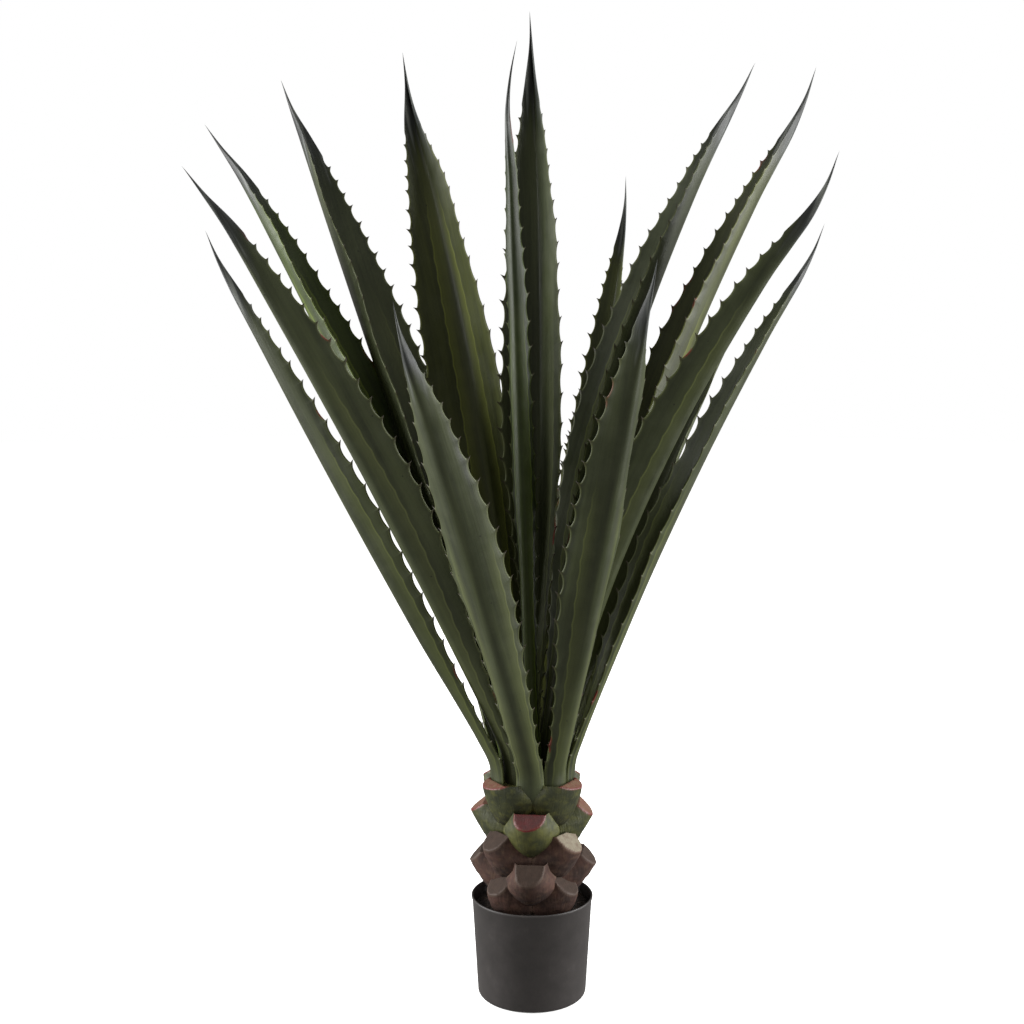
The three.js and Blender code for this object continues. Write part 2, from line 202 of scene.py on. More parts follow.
    # The end spine is dead and dry: silver grey with dark streaks.
    dead = add(tree, "ShaderNodeMapping", {"Vector": blade, "Scale": (120, 9, 2)}).outputs[0]
    cracks = add(tree, "ShaderNodeTexNoise", {"Vector": dead, "Scale": 1.0, "Detail": 3.0}).outputs[0]
    silver = add(tree, "ShaderNodeValToRGB", {0: cracks},
                 stops=[(0.38, "#1b1d1b"), (0.55, "#343735"), (0.7, "#6b6e69")]).outputs[0]
    drift = add(tree, "ShaderNodeMath", {0: cracks, 1: 0.1}, operation="MULTIPLY").outputs[0]
    dried = add(tree, "ShaderNodeMath", {0: along, 1: drift}, operation="ADD").outputs[0]
    dry = add(tree, "ShaderNodeMapRange", {"Value": dried, "From Min": 0.9, "From Max": 0.955}).outputs[0]
    colour = add(tree, "ShaderNodeMix", {0: dry, 6: horny, 7: silver}, data_type="RGBA").outputs[2]
    tree.links.new(colour, shader.inputs["Base Color"])

    dull = add(tree, "ShaderNodeMapRange",
               {"Value": bloom, "From Min": 0.3, "From Max": 0.7, "To Min": 0.38, "To Max": 0.55}).outputs[0]
    tree.links.new(dull, shader.inputs["Roughness"])
    # Broad ridges of fibre and the pressed line stand about 0.3 mm proud.
    relief = add(tree, "ShaderNodeMath", {0: streaks, 1: 2.0, 2: fibres}, operation="MULTIPLY_ADD").outputs[0]
    ridged = add(tree, "ShaderNodeMath", {0: relief, 1: drawn}, operation="ADD").outputs[0]
    bump = add(tree, "ShaderNodeBump", {"Height": ridged, "Strength": 0.5, "Distance": 0.0003}).outputs[0]
    tree.links.new(bump, shader.inputs["Normal"])
    return material


SKINS = {
    "old": leaf_skin("agave_skin_old", "#262b18", "#3a4026", "#5f6636"),
    "bloomed": leaf_skin("agave_skin_bloomed", "#2b301e", "#444a2f", "#656b40"),
    "olive": leaf_skin("agave_skin_olive", "#2b2f17", "#434822", "#727836"),
    # The inner skin is a darker copy of the skin, painted shade for the middle blade at the front.
    "inner": leaf_skin("agave_skin_shaded", "#151c08", "#27320f", "#536120"),
    "fresh": leaf_skin("agave_skin_fresh", "#252e12", "#3e4b1b", "#718033"),
}


# ---------------------------------------------------------------- leaves
ROW = 3.2 * MM              # spacing of rows up a blade, away from its teeth
CLAW_ROWS = np.array([-4.6, -3.2, -2.1, -1.2, -0.5, 0, 0.5, 1.1, 1.9, 3.0]) * MM
TOOTH_PITCH = ((0, 0.15, 0.4, 0.65, 0.9), (24, 28, 34, 30, 17))       # share of the blade, mm between teeth
TOOTH_SIZE = ((0.05, 0.12, 0.35, 0.7, 0.9), (0.35, 0.6, 1.0, 0.95, 0.45))
TOOTH_HEIGHT = 4.6 * MM
CLAW_BELOW, CLAW_ABOVE = 4.8 * MM, 2.2 * MM      # a claw's foot, down and up the margin from its point
TOOTH_HOOK = 0.9            # how far a tooth leans up the blade, for each mm it stands out
TOOTH_THICKNESS = 2.2 * MM
SCALLOP = 4.1 * MM
LAST_SCALLOP = 18 * MM      # length of the scallop past a margin's last tooth
TOOTHED = (0.09, 0.88)      # the stretch of margin that has teeth
FEET = ((0.35, 12, 36), (0.7, 6, 18))       # a foot's share of the root's width, mm inward and mm down
FINE_STEPS = 400
ACROSS = np.array([0, 0.13, 0.28, 0.44, 0.6, 0.76, 0.89, 0.962, 1.0])
ACROSS = np.concatenate([-ACROSS[:0:-1], ACROSS])
KEEL_SOFTNESS = 0.1
HOLLOW = 0.045              # how hollow each flank is, as a share of the half width
RIPPLE = 5 * MM
PRINT_WANDER = 0.12         # how far the print's track wanders, as a share of the flank
PRINT_SCALLOP, PRINT_PITCH = 1.4 * MM, 29 * MM
EDGE_BAND = 10 * MM         # how far in from the margin its colours can tell where they are


def blade_edges(node):
    """A CAD blade's eight long edges as [ring from root to tip, edge, xyz]: edge 0 is the left margin,
    2 the inner keel, 4 the right margin and 6 the outer keel, seen from inside with the tip up."""
    bm = bmesh.new()
    bm.from_mesh(node.data)
    bmesh.ops.remove_doubles(bm, verts=bm.verts, dist=1e-5)
    tip = max(bm.verts, key=lambda vert: vert.co.z)
    seen, level, rings = {tip}, {tip}, []
    while True:
        level = {edge.other_vert(vert) for vert in level for edge in vert.link_edges} - seen
        if len(level) != 8:
            break
        seen |= level
        ring = [min(level, key=lambda vert: tuple(vert.co))]
        while len(ring) < 8:
            ring.append(next(edge.other_vert(ring[-1]) for edge in ring[-1].link_edges
                             if edge.other_vert(ring[-1]) in level and edge.other_vert(ring[-1]) not in ring))
        corners = np.array([vert.co for vert in ring])
        if rings:
            turned = [np.roll(way, shift, axis=0) for way in (corners, corners[::-1]) for shift in range(8)]
            before = rings[-1] - rings[-1].mean(axis=0)
            corners = min(turned, key=lambda ring: np.sum((ring - ring.mean(axis=0) - before) ** 2))
        rings.append(corners)
    top = np.array([tip.co] * 8)
    bm.free()
    edges = np.array(rings[::-1] + [top])
    middle = edges[len(edges) // 2]
    first = max(range(4), key=lambda corner: np.linalg.norm(middle[corner] - middle[corner + 4]))
    edges = np.roll(edges, -first, axis=1)
    middle = edges[len(edges) // 2]
    chord = (middle[0] + middle[4]) / 2
    if np.linalg.norm(middle[2] - chord) > np.linalg.norm(middle[6] - chord):
        edges = np.roll(edges, -4, axis=1)
        middle = edges[len(edges) // 2]
    upward = edges[len(edges) // 2 + 1].mean(axis=0) - middle.mean(axis=0)
    if np.dot(np.cross(upward, middle[2] - middle[6]), middle[4] - middle[0]) < 0:
        edges = np.roll(edges[:, ::-1], 5, axis=1)
    return edges


def sheathed(edges):
    """The edges with their clasping foot added, which narrows down into the crown."""
    root = edges[0]
    middle = root.mean(axis=0)
    inward = -middle * (1, 1, 0) / np.linalg.norm(middle[:2])
    feet = [middle + (root - middle) * narrow + inward * back * MM - np.array([0, 0, down * MM])
            for narrow, back, down in FEET]
    return np.concatenate([[feet[0]], [feet[1]], edges])


def through(points, where):
    """Points on the smooth curves through evenly spaced rows of points."""
    slopes = np.gradient(points, axis=0)
    start = np.clip(where.astype(int), 0, len(points) - 2)
    s = (where - start)[:, None, None]
    return ((2 * s ** 3 - 3 * s ** 2 + 1) * points[start] + (s ** 3 - 2 * s ** 2 + s) * slopes[start]
            + (3 * s ** 2 - 2 * s ** 3) * points[start + 1] + (s ** 3 - s ** 2) * slopes[start + 1])


def tooth_places(length, chance):
    """Where the teeth of one margin are, in metres up the blade."""
    at = (TOOTHED[0] + chance.uniform(0, 0.03)) * length
    marks = []
    while at < TOOTHED[1] * length:
        marks.append(at)
        at += MM * np.interp(at / length, *TOOTH_PITCH) * chance.uniform(0.85, 1.15)
    return marks


def blade_rows(length, marks):
    """Rows up the blade: evenly spaced, and closer together round each tooth."""
    rows = np.concatenate([np.arange(0, length, ROW)] + [mark + CLAW_ROWS for mark in marks] + [[length]])
    rows = np.sort(rows[(rows >= 0) & (rows <= length)])
    kept = [0.0]
    for row in rows:
        if row - kept[-1] > 0.35 * MM:
            kept.append(row)
    kept[-1] = length
    return np.array(kept)


def margin_shape(up, marks, length, chance):
    """A margin's scallops and its claws, each as how far they stand out at each row."""
    scallop, claw = np.zeros_like(up), np.zeros_like(up)
    for mark, after in zip(marks, marks[1:] + [marks[-1] + LAST_SCALLOP]):
        size = np.interp(mark / length, *TOOTH_SIZE) * chance.uniform(0.8, 1.1)
        share = np.clip((up - mark) / (after - mark), 0, 1)
        scallop -= SCALLOP * size * np.sin(share * math.pi) ** 0.75
        far = up - up[np.argmin(abs(up - mark))]
        below = np.clip(1 + far / CLAW_BELOW, 0, 1) ** 1.7 * (far <= 0)
        above = np.clip(1 - far / CLAW_ABOVE, 0, 1) ** 1.2 * (far > 0)
        claw += TOOTH_HEIGHT * size * (below + above)
    return scallop, claw


def make_leaf(key, skin, print_at, print_end, seed):
    """The blade on a CAD leaf's edges: finer, with its teeth, its end spine and the bud's print."""
    node = NODES["leaf_" + key]
    chance = random.Random(key)
    edges = sheathed(blade_edges(node))
    rings = len(edges) - 1
    fine = through(edges, np.linspace(0, rings, FINE_STEPS))
    travelled = np.concatenate([[0], np.cumsum(np.linalg.norm(np.diff(fine.mean(axis=1), axis=0), axis=1))])
    length = travelled[-1]
    marks = [tooth_places(length, chance) for margin in (-1, 1)]
    up = blade_rows(length, marks[0] + marks[1])
    share = np.interp(up, travelled, np.linspace(0, 1, FINE_STEPS))
    line = through(edges, share * rings)
    left, right, inside, outside = line[:, 0], line[:, 4], line[:, 2], line[:, 6]

    half = np.maximum(np.linalg.norm(right - left, axis=1) / 2, 2e-5)
    side = unit(right - left)
    thick = np.linalg.norm(inside - outside, axis=1)
    face = inside - outside
    face[-1] = face[-2]
    face = unit(face - side * np.sum(face * side, axis=1, keepdims=True))
    keel = (inside + outside) / 2
    rise = np.sum(((left + right) / 2 - keel) * face, axis=1)
    climb = unit(np.gradient(keel, axis=0))

    u = ACROSS[None, :]
    soft = np.hypot(u, KEEL_SOFTNESS)
    reach = math.hypot(1, KEEL_SOFTNESS) - KEEL_SOFTNESS
    height = rise[:, None] * (soft - KEEL_SOFTNESS) / reach
    steep = rise[:, None] / half[:, None] * u / soft / reach
    middle = keel[:, None] + side[:, None] * (half[:, None] * u)[..., None] + face[:, None] * height[..., None]
    normal = unit(face[:, None] - side[:, None] * steep[..., None])
    outward = unit(side[:, None] + face[:, None] * steep[..., None])
    flank = half * np.hypot(1, rise / half)
    flat = flank[:, None] * u

    # Flanks are a little hollow inside, and ripple gently towards the margin.
    hollow = -HOLLOW * half[:, None] * np.sin(math.pi * np.abs(u))
    wave = np.array([[noise.noise(Vector((far * 9, margin * 7 + seed, 3.1))) for margin in (-1, 1)]
                     for far in up])
    ripple = RIPPLE * np.where(u < 0, wave[:, :1], wave[:, 1:]) * np.abs(u) ** 2
    calm = ease(share, 0.05, 0.2) * (1 - ease(share, 0.8, 0.95))
    middle = middle + normal * (hollow + ripple * calm[:, None])[..., None]

    # The margin's scallops and hooked claws.
    tooth = np.zeros_like(flat)
    room = ease(half, 2 * MM, 14 * MM)[:, None]
    for margin, places in zip((-1, 1), marks):
        scallop, claw = margin_shape(up, places, length, chance)
        rim = np.abs(u) * (np.sign(u) == margin)
        point = claw[:, None] * room * np.interp(rim, (0.9, 0.962, 1.0), (0.0, 0.2, 1.0))
        push = point + scallop[:, None] * room * ease(rim, 0.7, 1.0)
        middle = middle + outward * (margin * push)[..., None] + climb[:, None] * (TOOTH_HOOK * point)[..., None]
        tooth = np.maximum(tooth, np.clip(point / TOOTH_THICKNESS, 0, 1))

    # The track of the bud's print up each flank.
    wander = np.array([noise.noise(Vector((far * 4, 5.5 + seed, 0))) for far in up])
    track = (flank * (print_at + PRINT_WANDER * wander)
             - PRINT_SCALLOP * np.abs(np.sin(math.pi * up / PRINT_PITCH)))
    printed = ease(share, 0.08, 0.16) * (1 - ease(share, print_end, print_end + 0.12))

    body = thick[:, None] * (0.26 + 0.74 * (1 - np.abs(u) ** 2.4)) * (1 - 0.6 * tooth)
    upper = middle + normal * (body / 2)[..., None]
    lower = middle - normal * (body / 2)[..., None]
    around = np.concatenate([upper, lower[:, ::-1]], axis=1)
    columns = around.shape[1]
    root = np.broadcast_to(around[0].mean(axis=0), (1, columns, 3))
    tip = np.broadcast_to(around[-1].mean(axis=0), (1, columns, 3))
    points = np.concatenate([root, around, tip])

    def all_round(values, inner=None):
        values = np.broadcast_to(values, flat.shape)
        other = values if inner is None else np.broadcast_to(inner, flat.shape)
        loop = np.concatenate([values, other[:, ::-1]], axis=1)
        return np.concatenate([loop[:1], loop, loop[-1:]])

    bm = grid_body(points, {
        "along": all_round(share[:, None]), "flat": all_round(flat), "up": all_round(up[:, None]),
        "edge": all_round(np.minimum((1 - np.abs(u)) * flank[:, None] / EDGE_BAND, 1)),
        "tooth": all_round(tooth), "inner": all_round(1.0, 0.0),
        "track": all_round(track[:, None]), "printed": all_round(printed[:, None])})
    return piece("blade_" + key, bm, skin, "leaf", "leaf_" + key)


# Each blade's skin, how far out its bud's print runs as a share of the flank, and how far up the blade.
LEAVES = {
    "front_left": ("bloomed", 0.7, 0.5), "front_right": ("old", 0.6, 0.55),
    "left_low": ("old", 0.62, 0.6), "right_low": ("old", 0.7, 0.5),
    "rear_left": ("old", 0.55, 0.6), "rear_middle": ("old", 0.6, 0.6),
    "rear_right": ("olive", 0.5, 0.6), "rear_far_right": ("bloomed", 0.6, 0.5),
    "left_front": ("bloomed", 0.42, 0.62), "right_front": ("old", 0.38, 0.7),
    "left_back": ("fresh", 0.5, 0.7), "right_back": ("olive", 0.5, 0.6),
    "back_right": ("olive", 0.6, 0.6), "back_left": ("bloomed", 0.62, 0.6),
    "right_high": ("old", 0.55, 0.6), "back_wide": ("olive", 0.35, 0.72),
    # The middle blade at the front wears the inner skin, whose darker colours are painted shade.
    "centre_front": ("inner", 0.6, 0.6), "centre_back": ("bloomed", 0.66, 0.5),
}
for number, (key, (skin, print_at, print_end)) in enumerate(LEAVES.items()):
    make_leaf(key, SKINS[skin], print_at, print_end, number)


# ---------------------------------------------------------------- stubs of old leaves, stem, mix and pot
def old_base(name, body, shade, edge_wear, moss, cut_face, cut_rim, roughness):
    """The base of a leaf cut off with a knife: fibrous rind that has dulled, and a cut face that has dried."""
    material, tree, shader = new_material(name, IOR=1.45)
    cut, rim, low, worn, sunk, turned, raised = (
        add(tree, "ShaderNodeAttribute", attribute_name=key).outputs["Fac"]
        for key in ("cut", "rim", "low", "worn", "sunk", "turned", "raised"))
    spot = add(tree, "ShaderNodeTexCoord").outputs["Object"]
    # Rind fibres 2 mm apart run up and down; stains are about 20 mm across. turned and raised are in metres.
    rindwise = add(tree, "ShaderNodeCombineXYZ", {"X": turned, "Y": raised}).outputs[0]
    grain = add(tree, "ShaderNodeMapping", {"Vector": rindwise, "Scale": (500, 45, 1)}).outputs[0]
    fibres = add(tree, "ShaderNodeTexNoise",
                 {"Vector": grain, "Scale": 1.0, "Detail": 5.0, "Roughness": 0.6}).outputs[0]
    stains = add(tree, "ShaderNodeTexNoise", {"Vector": spot, "Scale": 45.0, "Detail": 4.0}).outputs[0]
    stained = add(tree, "ShaderNodeMapRange", {"Value": stains, "From Min": 0.38, "From Max": 0.64}).outputs[0]
    rind = add(tree, "ShaderNodeMix", {0: stained, 6: body, 7: shade}, data_type="RGBA").outputs[2]
    threads = add(tree, "ShaderNodeMapRange",
                  {"Value": fibres, "From Min": 0.35, "From Max": 0.65, "To Min": 0.2, "To Max": 0.9}).outputs[0]
    between = add(tree, "ShaderNodeMath", {0: threads, 1: 0.5}, operation="MULTIPLY").outputs[0]
    barked = add(tree, "ShaderNodeMix", {0: between, 6: rind, 7: shade}, data_type="RGBA").outputs[2]
    # Painted shade: the colour darkens down towards the points, which sit in the hollows between the bases
    # below.
    point_shade = add(tree, "ShaderNodeMath", {0: low, 1: 0.6}, operation="MULTIPLY").outputs[0]
    point_shaded = add(tree, "ShaderNodeMix", {0: point_shade, 6: barked, 7: "#17110e"}, data_type="RGBA").outputs[2]
    # Painted shade darkens the crease valleys, and mossy, yellowed spots are about 8 mm across.
    lined = add(tree, "ShaderNodeMath", {0: sunk, 1: 0.35}, operation="MULTIPLY").outputs[0]
    creased = add(tree, "ShaderNodeMix", {0: lined, 6: point_shaded, 7: shade}, data_type="RGBA").outputs[2]
    patches = add(tree, "ShaderNodeTexNoise", {"Vector": spot, "Scale": 130.0, "Detail": 3.0}).outputs[0]
    yellowed = add(tree, "ShaderNodeMapRange",
                   {"Value": patches, "From Min": 0.5, "From Max": 0.72, "To Max": 0.3}).outputs[0]
    mossy = add(tree, "ShaderNodeMix", {0: yellowed, 6: creased, 7: moss}, data_type="RGBA").outputs[2]
    # Handling has worn the rind's edges paler.
    rubbed = add(tree, "ShaderNodeMath", {0: worn, 1: threads}, operation="MULTIPLY").outputs[0]
    paler = add(tree, "ShaderNodeMix", {0: rubbed, 6: mossy, 7: edge_wear}, data_type="RGBA").outputs[2]
    # The cut has dried in mottles about 6 mm across.
    dry = add(tree, "ShaderNodeTexNoise", {"Vector": spot, "Scale": 160.0, "Detail": 4.0}).outputs[0]
    mottle = add(tree, "ShaderNodeMapRange",
                 {"Value": dry, "From Min": 0.4, "From Max": 0.7, "To Max": 0.5}).outputs[0]
    sap = add(tree, "ShaderNodeMix", {0: mottle, 6: cut_face, 7: cut_rim}, data_type="RGBA").outputs[2]
    faced = add(tree, "ShaderNodeMix", {0: cut, 6: paler, 7: sap}, data_type="RGBA").outputs[2]
    rimmed = add(tree, "ShaderNodeMix", {0: rim, 6: faced, 7: cut_rim}, data_type="RGBA").outputs[2]
    tree.links.new(rimmed, shader.inputs["Base Color"])
    # Sap has dried glossier along the cut's lower edge.
    glossy = add(tree, "ShaderNodeMapRange",
                 {"Value": rim, "To Min": roughness, "To Max": 0.7 * roughness}).outputs[0]
    tree.links.new(glossy, shader.inputs["Roughness"])
    bump = add(tree, "ShaderNodeBump", {"Height": fibres, "Strength": 0.6, "Distance": 0.0012}).outputs[0]
    tree.links.new(bump, shader.inputs["Normal"])
    return material


DRIED = old_base("leaf_base_dried", "#53372d", "#2f1f19", "#86705c", "#6b5440", "#32241b", "#413026", 0.85)
DRIED_PALE = old_base("leaf_base_dried_pale", "#53372d", "#2f1f19", "#86705c", "#6b5440",
                      "#857d6c", "#5a4234", 0.85)
FRESH = old_base("leaf_base_fresh", "#454722", "#262a14", "#6c6c38", "#6a6a2a", "#6c513e", "#641418", 0.55)
FRESH_MAROON = old_base("leaf_base_fresh_maroon", "#5a5a2d", "#303419", "#6c6c38", "#6a6a2a",
                        "#44201f", "#5e1517", 0.55)


def refined(node, voxel):
    """A copy of a CAD node's shape in fine even faces with softened edges."""
    bm = bmesh.new()
    bm.from_mesh(node.data)
    bmesh.ops.remove_doubles(bm, verts=bm.verts, dist=1e-5)
    mesh = bpy.data.meshes.new(node.name + "_fine")
    bm.to_mesh(mesh)
    bm.free()
    scratch = bpy.data.objects.new(mesh.name, mesh)
    scene.collection.objects.link(scratch)
    remesh = scratch.modifiers.new("even", "REMESH")
    remesh.mode = "VOXEL"
    remesh.voxel_size = voxel
    bm = bmesh.new()
    evaluated = scratch.evaluated_get(bpy.context.evaluated_depsgraph_get())
    bm.from_mesh(evaluated.to_mesh())
    bpy.data.objects.remove(scratch)
    bpy.data.meshes.remove(mesh)
    for _ in range(2):
        bmesh.ops.smooth_vert(bm, verts=bm.verts, factor=0.5,
                              use_axis_x=True, use_axis_y=True, use_axis_z=True)
    return bm


# A base's half width in degrees round the stem, from its point (0) past the knife's lip (1) to its back.
BASE_OUTLINE = ((-0.06, 0.0, 0.12, 0.3, 0.48, 0.65, 0.85, 1.05, 1.3, 1.8),
                (2, 12, 27, 44, 52, 53, 47, 38, 29, 22))
CROWN_OUTLINE = ((-0.06, 0.0, 0.12, 0.3, 0.5, 0.7, 0.82, 0.95, 1.1, 1.3, 1.8),
                 (2, 12, 24, 38, 50, 57, 55, 47, 35, 26, 22))
# A base is a thick keel on wide thin wings: the keel's share of its thickness, and its half width as a
# share of the base's.
DRIED_KEEL, LIVING_KEEL, CROWN_KEEL = (0.5, 0.62), (0.5, 0.66), (0.3, 0.7)
STUB_ROWS, STUB_COLUMNS, CORE_COLUMNS = 60, 53, 5
CUT_DEPTH = 21 * MM         # how far the knife's cut goes in from the lip
CUT_DENTS = 0.5 * MM
STEM_CORE = 43 * MM         # how far in a base's sides reach, inside the stem's skin
CORE_INSET = 4 * MM         # how much further in its hidden inner face is
BACK_DROP = 5 * MM
LIP_ROUND = 1.1 * MM
RIB_HEIGHT = 0.7 * MM
CREASE_HEIGHT = 0.35 * MM   # the shrunken V-shaped creases of a dried base
RIND_RADIUS = 0.06          # metres round the stem for each radian, for the rind's pattern
RIBS, DENTS = (16, 2.2), (9, 5)     # how many to a radian round the stem, and to a base's height
CREASES = 2.8               # how many to a base's height
# Each row's outline, its keel, how much lower its lips hang than the CAD's, how many degrees its crests
# turn away from the front and the back, and how much its creases show.
STUB_KINDS = {
    1: (BASE_OUTLINE, DRIED_KEEL, 12 * MM, 7, 1.0),
    2: (BASE_OUTLINE, DRIED_KEEL, 0, 0, 1.0),
    3: (BASE_OUTLINE, DRIED_KEEL, 9 * MM, 8, 1.0),
    4: (BASE_OUTLINE, LIVING_KEEL, 0, 0, 0.3),
    5: (CROWN_OUTLINE, CROWN_KEEL, 0, 15, 0.3),
}
ROW_LEAN = -5               # degrees that the crests of the other rows all lean to one side
MIDDLE_DROP = 7 * MM        # how much lower the lips of row 2 hang at the front and the back


def cad_stub(name):
    """A CAD stub's azimuth, and the radius and height of its foot, of its knife lip and of its cut's back."""
    spots = np.array([vert.co for vert in NODES[name].data.vertices])
    radius = np.hypot(spots[:, 0], spots[:, 1])
    middle = spots.mean(axis=0)
    lip, back, foot = radius.argmax(), spots[:, 2].argmax(), spots[:, 2].argmin()
    return (math.atan2(middle[1], middle[0]),
            *((radius[spot], spots[spot, 2]) for spot in (foot, lip, back)))


def make_stub(name, material, slot, outline, keel, lip_drop, swing, creased, seed):
    """One old leaf base: a keeled scale that widens from its point and leans out to a lip,
    where the knife's flat cut slants back to the stem. swing turns its crest round the stem, in degrees."""
    azimuth, foot, lip, back = cad_stub(name)
    chance = random.Random(name)
    swing = math.radians(swing + chance.uniform(-2, 2))
    lip = (lip[0] * chance.uniform(0.97, 1.0), lip[1] - lip_drop + chance.uniform(-1.5, 0.5) * MM)
    fall = (back[1] - lip[1]) / (lip[0] - back[0])
    end = lip[1] + min(CUT_DEPTH, lip[0] - back[0]) * fall
    height = np.linspace(foot[1], end, STUB_ROWS)[:, None]
    climb = (height - foot[1]) / (lip[1] - foot[1])
    half = np.radians(np.interp(climb, *outline))
    x = np.sin(np.linspace(-math.pi / 2, math.pi / 2, STUB_COLUMNS))[None, :]
    crest = swing * ease(half, 0, 0.5)
    turn = x * np.where(x < 0, half + crest, half - crest)
    # The wings are round, and the keel falls off nearly straight from a rounded crest.
    share, wide = keel
    wings = np.clip(1 - np.abs(x) ** 2.8, 0, 1) ** 0.55
    ridge = np.clip(1 - (np.sqrt(x ** 2 + 0.012) - 0.11) / wide, 0, 1)
    dome = (1 - share) * wings + share * (ridge ** 2 * (3 - 2 * ridge) * 0.35 + ridge * 0.65)
    line = foot[0] + (lip[0] - foot[0]) * np.maximum(climb, 0) ** 0.9
    rind = STEM_CORE + (line - STEM_CORE) * dome * ease(climb, -0.12, 0.1) ** 0.5
    ribs = np.array([[noise.fractal(Vector((turn[r, c] * RIBS[0], climb[r, 0] * RIBS[1], seed)), 1.0, 2.0, 3)
                      for c in range(x.size)] for r in range(height.size)])
    rind = rind + RIB_HEIGHT * ribs * dome
    # The creases run parallel to the cut's pointed edge, about 16 mm apart.
    crease = np.cos((climb - 0.6 * np.abs(x)) * 2 * math.pi * CREASES + 3 * ribs)
    rind = rind + creased * CREASE_HEIGHT * crease * dome
    # The knife's plane, as a radius at each height and turn.
    knife = (lip[0] * fall + lip[1] - height) / (fall * np.cos(turn))
    dents = np.array([[noise.noise(Vector((turn[r, c] * DENTS[0], climb[r, 0] * DENTS[1], seed + 9)))
                       for c in range(x.size)] for r in range(height.size)])
    knife = knife + CUT_DENTS * dents
    lower = np.minimum(rind, knife)
    radius = lower - LIP_ROUND * np.log1p(np.exp(-np.abs(rind - knife) / LIP_ROUND)) * dome
    # Where the cut shows, and how far past it the rind would have gone.
    past = rind - knife
    cut = ease(past, 0.2 * MM, 1.4 * MM)
    rim = ease(past, -4 * MM, -2 * MM) * (1 - ease(past, 0.6 * MM, 2.5 * MM)) * ease(climb, 0.7, 0.85)
    side_wear = ease(np.abs(x) + 0 * climb, 0.8, 0.97) * ease(climb, 0.3, 0.5)
    worn = side_wear + 0.3 * ease(past, -5 * MM, -2 * MM) * (1 - cut)

    def at(distance, heading):
        """Points at each height that far out from the stem's axis, at that heading."""
        return np.stack([distance * np.cos(heading), distance * np.sin(heading),
                         np.broadcast_to(height, heading.shape)], axis=-1)

    heading = azimuth + crest + turn
    ways = np.linspace(0, 1, CORE_COLUMNS + 2)[1:-1][None, :]
    inward = heading[:, -1:] * (1 - ways) + heading[:, :1] * ways
    around = np.concatenate([at(radius, heading), at(STEM_CORE - CORE_INSET, inward)], axis=1)
    # The old leaf's inner face drops behind the cut.
    back_face = around[-1:] * (0.86, 0.86, 1) - np.array([0, 0, BACK_DROP])
    around = np.concatenate([around, back_face])
    caps = [np.broadcast_to(around[row].mean(axis=0), (1, around.shape[1], 3)) for row in (0, -1)]

    def all_round(values):
        values = np.broadcast_to(values, radius.shape)
        loop = np.concatenate([values, np.zeros(inward.shape)], axis=1)
        return np.concatenate([loop[:1], loop, loop[-1:], loop[-1:]])

    # The low mask is painted shade: it darkens each base towards its point.
    # The sunk mask is painted shade: it darkens the crease valleys.
    bm = grid_body(np.concatenate([caps[0], around, caps[1]]), {
        "cut": all_round(cut), "rim": all_round(rim), "worn": all_round(np.clip(worn, 0, 1)),
        "low": all_round(1 - ease(climb, 0.02, 0.55)), "sunk": all_round(0.5 - 0.5 * crease * dome),
        "turned": all_round(turn * RIND_RADIUS), "raised": all_round(height)})
    return piece("old_base_" + name[-2:], bm, material, slot, name)


for row, (outline, keel, drop, away, creased) in STUB_KINDS.items():
    for place, letter in enumerate("abcd"):
        name = f"leaf_stub_{row}{letter}"
        azimuth = cad_stub(name)[0]
        in_middle = abs(math.cos(azimuth)) < 0.2            # at the front or the back
        front_right = math.cos(azimuth) > 0 > math.sin(azimuth)
        if row >= 4:
            material, slot = (FRESH_MAROON if row == 4 and in_middle else FRESH), "green_stub"
        else:
            material, slot = (DRIED_PALE if row == 3 and front_right else DRIED), "brown_stub"
        swing = away * math.copysign(1, -math.sin(2 * azimuth)) if away else ROW_LEAN
        make_stub(name, material, slot, outline, keel, MIDDLE_DROP if row == 2 and in_middle else drop,
                  swing, creased, 10 * row + place)


def bark():
    """The stem between the old bases: dead, dark brown and stringy."""
    material, tree, shader = new_material("stem_bark", Roughness=0.85, IOR=1.45)
    spot = add(tree, "ShaderNodeTexCoord").outputs["Object"]
    grain = add(tree, "ShaderNodeMapping", {"Vector": spot, "Scale": (350, 350, 40)}).outputs[0]
    fibres = add(tree, "ShaderNodeTexNoise", {"Vector": grain, "Scale": 1.0, "Detail": 6.0}).outputs[0]
    colour = add(tree, "ShaderNodeValToRGB", {0: fibres},
                 stops=[(0.35, "#17110d"), (0.6, "#3a2b22"), (0.75, "#5a4737")]).outputs[0]
    # The crown, from about 250 mm up, is the living leaves' green sheath.
    height = add(tree, "ShaderNodeSeparateXYZ", {0: spot}).outputs["Z"]
    living = add(tree, "ShaderNodeMapRange", {"Value": height, "From Min": 0.235, "From Max": 0.262}).outputs[0]
    greened = add(tree, "ShaderNodeMix", {0: living, 6: colour, 7: "#262b1a"}, data_type="RGBA").outputs[2]
    tree.links.new(greened, shader.inputs["Base Color"])
    bump = add(tree, "ShaderNodeBump", {"Height": fibres, "Strength": 0.9, "Distance": 0.002}).outputs[0]
    tree.links.new(bump, shader.inputs["Normal"])
    return material


# The stem's shoulder is hidden by the living leaves' feet, so it is drawn in under them.
CROWN_RADIUS = 46 * MM
FINE = 2.5 * MM             # size of the faces of the stem and the mix
BARK_RELIEF, CRUMB_RELIEF = 0.8 * MM, 1.6 * MM
stem = refined(NODES["stem"], FINE)
for vert in stem.verts:
    out = math.hypot(vert.co.x, vert.co.y)
    if out > CROWN_RADIUS:
        vert.co.x, vert.co.y = vert.co.x * CROWN_RADIUS / out, vert.co.y * CROWN_RADIUS / out
stem.normal_update()
for vert in stem.verts:
    vert.co += vert.normal * BARK_RELIEF * noise.fractal(vert.co * 90, 1.0, 2.0, 3)
piece("stem_core", stem, bark(), "stem", "stem")


